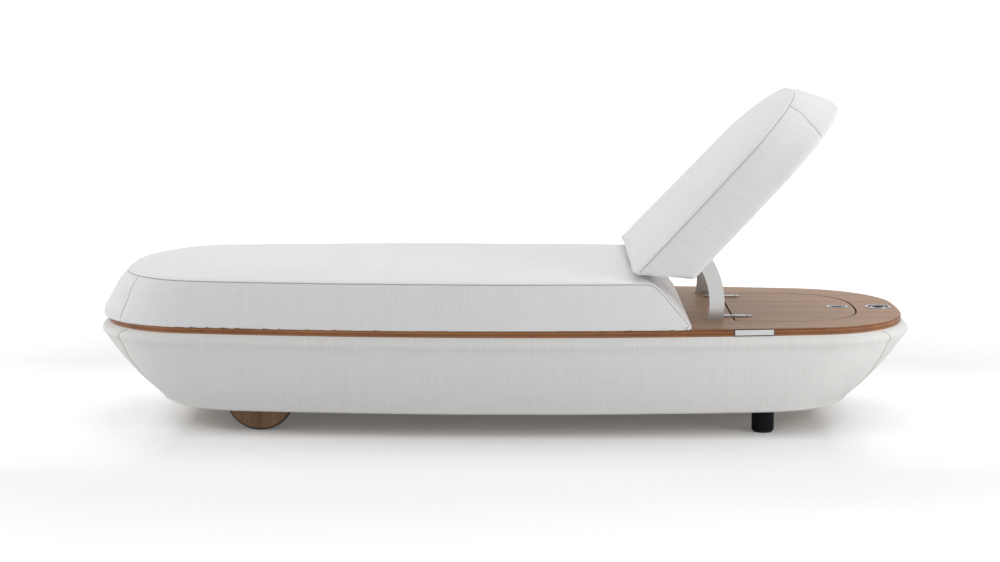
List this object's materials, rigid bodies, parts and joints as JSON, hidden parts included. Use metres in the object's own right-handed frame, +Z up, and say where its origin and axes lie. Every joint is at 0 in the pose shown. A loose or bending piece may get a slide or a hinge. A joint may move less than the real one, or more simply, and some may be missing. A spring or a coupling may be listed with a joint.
{
  "type": "relaxation lounger",
  "caption": "Boat-shaped relaxation lounger with an upholstered hull, timber deck, mattress, tilting backrest, storage lid, wheels and feet.",
  "frame": {"origin": "on the floor under the centre of the deck", "axes": "+X towards the head end, -Y towards the side with the blank plate, +Z up"},
  "size_m": [2.205, 0.8092, 0.9052],
  "materials": {
    "hull_fabric": "off-white woven cover, matt",
    "cushion_fabric": "off-white linen-like weave, matt",
    "deck_wood": "oiled hardwood, fine straight grain",
    "wheel_wood": "oiled hardwood, darker",
    "plywood": "bare plywood",
    "shell_plastic": "moulded, matt",
    "bin_plastic": "moulded, fine texture",
    "frame_paint": "powder coat, dark grey",
    "satin_steel": "satin stainless steel",
    "polished_steel": "polished stainless steel",
    "zinc_steel": "zinc plated",
    "strip_fabric": "hook-and-loop strip",
    "guide_plastic": "acetal, semi-matt",
    "brake_rubber": "firm friction rubber",
    "tyre_rubber": "smooth black tread",
    "bush_brass": "plain bearing brass",
    "foot_plastic": "black, matt",
    "glide_rubber": "black, matt"
  },
  "bodies": {
    "base": {"hull_cover": "hull_fabric", "hull_shell": "shell_plastic", "bottom_board": "plywood", "hull_frame": "frame_paint", "deck_board": "deck_wood", "storage_bin": "bin_plastic", "name_plate": "satin_steel", "lift_cup": "polished_steel", "hinge_deck_screws": "polished_steel", "mattress_cushion": "cushion_fabric", "mattress_strips": "strip_fabric", "wheel_axle": "zinc_steel", "wheel_spacers": "guide_plastic", "axle_clips": "zinc_steel", "foot_bolts": "zinc_steel", "hinge_deck_leaf_left": "polished_steel", "hinge_deck_leaf_right": "polished_steel", "hinge_pin_left": "polished_steel", "hinge_pin_right": "polished_steel", "arm_guide_left": "guide_plastic", "arm_guide_right": "guide_plastic", "brake_pad_left": "brake_rubber", "brake_pad_right": "brake_rubber", "brake_plug_left": "zinc_steel", "brake_plug_right": "zinc_steel", "wheel_housing_left": "frame_paint", "wheel_housing_right": "frame_paint", "foot_left": "foot_plastic", "foot_right": "foot_plastic", "foot_glide_left": "glide_rubber", "foot_glide_right": "glide_rubber"},
    "lid": {"lid_board": "deck_wood", "lid_pull_cup": "polished_steel", "hinge_lid_screws": "polished_steel", "hinge_lid_leaf_left": "polished_steel", "hinge_lid_leaf_right": "polished_steel"},
    "lid_pull": {"lid_pull_ring": "polished_steel"},
    "lift_ring": {"lift_ring": "polished_steel"},
    "backrest": {"backrest_cushion": "cushion_fabric", "backrest_board": "plywood", "arm_screws": "zinc_steel", "arm_tie_bar": "satin_steel", "arm_left": "satin_steel", "arm_right": "satin_steel"},
    "wheel_left": {"wheel_disc_left": "wheel_wood", "wheel_tyre_left": "tyre_rubber", "wheel_bush_left": "bush_brass"},
    "wheel_right": {"wheel_disc_right": "wheel_wood", "wheel_tyre_right": "tyre_rubber", "wheel_bush_right": "bush_brass"}
  },
  "joints": [
    {"name": "backrest_tilt", "type": "hinge", "parent": "base", "child": "backrest", "pos_m": [0.362, 0, 0.344], "axis": [0, -1, 0], "range_deg": [-46.6, 11.4]},
    {"name": "lid_swing", "type": "hinge", "parent": "base", "child": "lid", "pos_m": [0.61798, 0, 0.3], "axis": [0, -1, 0], "range_deg": [0, 70]},
    {"name": "lid_pull_swing", "type": "hinge", "parent": "lid", "child": "lid_pull", "pos_m": [0.908, 0, 0.2985], "axis": [0, -1, 0], "range_deg": [0, 90]},
    {"name": "lift_ring_swing", "type": "hinge", "parent": "base", "child": "lift_ring", "pos_m": [1.018, 0, 0.298], "axis": [0, -1, 0], "range_deg": [0, 90]},
    {"name": "wheel_left_spin", "type": "hinge", "parent": "base", "child": "wheel_left", "pos_m": [-0.655, -0.217, 0.093], "axis": [0, 1, 0], "continuous": true},
    {"name": "wheel_right_spin", "type": "hinge", "parent": "base", "child": "wheel_right", "pos_m": [-0.655, 0.217, 0.093], "axis": [0, 1, 0], "continuous": true}
  ]
}
